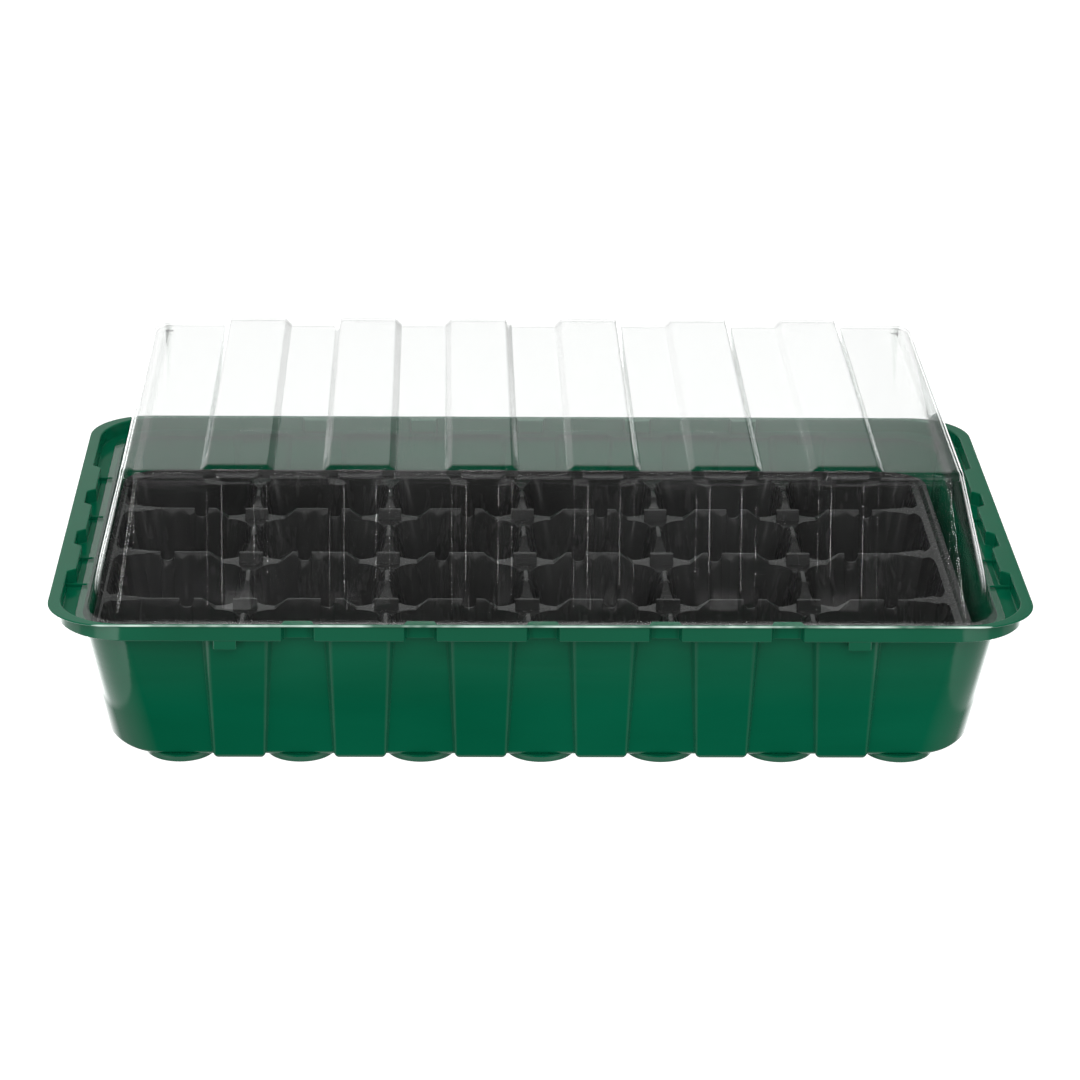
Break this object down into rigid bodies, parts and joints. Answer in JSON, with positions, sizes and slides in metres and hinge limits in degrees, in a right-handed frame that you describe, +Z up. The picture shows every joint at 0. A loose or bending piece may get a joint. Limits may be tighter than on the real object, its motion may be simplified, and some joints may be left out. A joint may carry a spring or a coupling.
{
  "type": "humidity dome tray",
  "caption": "Seed propagator: rectangular watertight base tray with round feet, thin sheet insert of tapered seed cells and a clear fluted dome that lifts off the ledge inside the rim.",
  "frame": {"origin": "on the ground at the centre of the tray's footprint", "axes": "+X along the long side, +Y to the back, +Z up"},
  "size_m": [0.38, 0.24, 0.1165],
  "materials": {
    "tray_plastic": "glossy deep green moulded plastic",
    "insert_sheet": "glossy near-black thermoformed sheet",
    "dome_sheet": "clear thermoformed sheet, lightly scuffed"
  },
  "bodies": {
    "tray": {"base_tray": "tray_plastic"},
    "insert": {"cell_insert_1": "insert_sheet", "cell_insert_2": "insert_sheet", "cell_insert_3": "insert_sheet", "cell_insert_4": "insert_sheet", "cell_insert_5": "insert_sheet", "cell_insert_6": "insert_sheet"},
    "dome": {"dome": "dome_sheet"}
  },
  "joints": [
    {"name": "insert_lift", "type": "slide", "parent": "tray", "child": "insert", "axis": [0, 0, 1], "range_m": [0, 0.09]},
    {"name": "dome_lift", "type": "slide", "parent": "insert", "child": "dome", "axis": [0, 0, 1], "range_m": [0, 0.12]}
  ]
}
